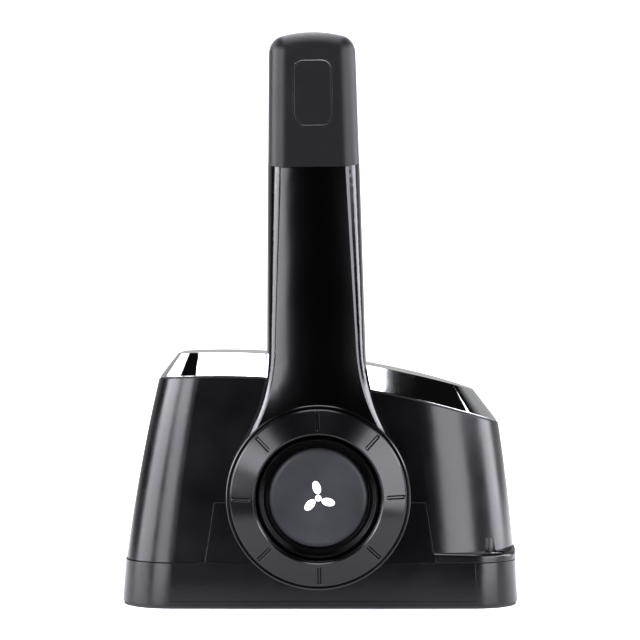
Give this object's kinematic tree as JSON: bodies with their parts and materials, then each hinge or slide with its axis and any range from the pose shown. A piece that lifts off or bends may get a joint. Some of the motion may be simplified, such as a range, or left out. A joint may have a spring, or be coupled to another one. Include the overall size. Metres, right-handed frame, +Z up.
{
  "type": "boat engine control head",
  "caption": "Single-lever throttle and shift control head for a boat: sloped housing with chrome cap, side lever with T grip, index ring, centre button and geared shift arm.",
  "frame": {"origin": "centre of the four mounting holes, on the console's surface under the gasket", "axes": "+Z up out of the console, +X to the stern, +Y to starboard; the lever is on the port side (-Y) and swings to -X for ahead"},
  "size_m": [0.1971, 0.1333, 0.2783],
  "materials": {
    "housing_black": "satin, fine moulded grain",
    "rubber_black": "matt",
    "chrome": "mirror",
    "lever_black": "gloss black",
    "grip_grey": "soft-touch, fine grain",
    "ring_black": "satin gloss",
    "button_grey": "satin",
    "mark_white": "satin",
    "steel": "bright zinc plated",
    "stainless": "polished",
    "gear_steel": "oiled machined steel",
    "frame_aluminium": "as cast",
    "bush_bronze": "sintered bronze",
    "nylon_white": "satin",
    "switch_black": "matt"
  },
  "bodies": {
    "base": {"mounting_gasket": "rubber_black", "base_frame": "housing_black", "main_housing": "housing_black", "port_access_cover": "housing_black", "starboard_access_cover": "housing_black", "hub_hole_plug": "housing_black", "top_cover": "chrome", "top_cover_gasket": "rubber_black", "top_cover_screws": "stainless", "housing_stern_screws": "stainless", "housing_bow_screws": "stainless", "port_frame_plate": "frame_aluminium", "starboard_frame_plate": "frame_aluminium", "frame_spacers": "steel", "frame_tie_bolts": "steel", "frame_foot_screws": "stainless", "port_shaft_bush": "bush_bronze", "starboard_shaft_bush": "bush_bronze", "shift_spindle": "stainless", "spindle_clip": "steel", "detent_spring": "stainless", "detent_bracket": "steel", "detent_screw": "stainless", "brake_shoe": "nylon_white", "brake_bracket": "steel", "neutral_switch": "switch_black", "switch_leaf": "stainless", "switch_screws": "stainless", "throttle_cable_anchor": "steel", "shift_cable_anchor": "steel", "cable_anchor_screws": "stainless", "hub_seal": "rubber_black"},
    "lever": {"lever_arm": "lever_black", "arm_back_cover": "housing_black", "grip": "grip_grey", "grip_screws": "stainless", "trim_switch_blank": "grip_grey", "index_ring": "ring_black", "button_bezel": "ring_black", "main_shaft": "stainless", "shaft_clip": "steel", "hub_washer": "stainless", "hub_nut": "stainless", "drive_gear": "gear_steel", "throttle_crank": "steel", "detent_cam": "gear_steel", "switch_cam": "nylon_white", "brake_drum": "gear_steel"},
    "button": {"warm_up_button": "button_grey", "button_mark": "mark_white", "button_rod": "stainless", "button_spring": "stainless"},
    "shift": {"shift_gear": "gear_steel", "shift_arm": "steel"},
    "friction": {"friction_screw": "stainless"}
  },
  "joints": [
    {"name": "lever_throw", "type": "hinge", "parent": "base", "child": "lever", "pos_m": [0, 0, 0.056], "axis": [0, 1, 0], "range_deg": [-90, 70], "deforming": ["detent_spring"]},
    {"name": "button_press", "type": "slide", "parent": "lever", "child": "button", "axis": [0, 1, 0], "range_m": [0, 0.004], "stiffness_N_per_m": 600, "springref_m": -0.006, "deforming": ["button_spring"]},
    {"name": "shift_gear_turn", "type": "hinge", "parent": "base", "child": "shift", "pos_m": [0.0459, 0, 0.056], "axis": [0, 1, 0], "range_deg": [-35, 45]},
    {"name": "friction_screw_turn", "type": "hinge", "parent": "base", "child": "friction", "pos_m": [-0.045, 0.023, 0.056], "axis": [1, 0, 0], "range_deg": [-180, 180]}
  ],
  "couplings": [
    {"joint": "shift_gear_turn", "follows": "lever_throw", "ratio": -0.5}
  ]
}
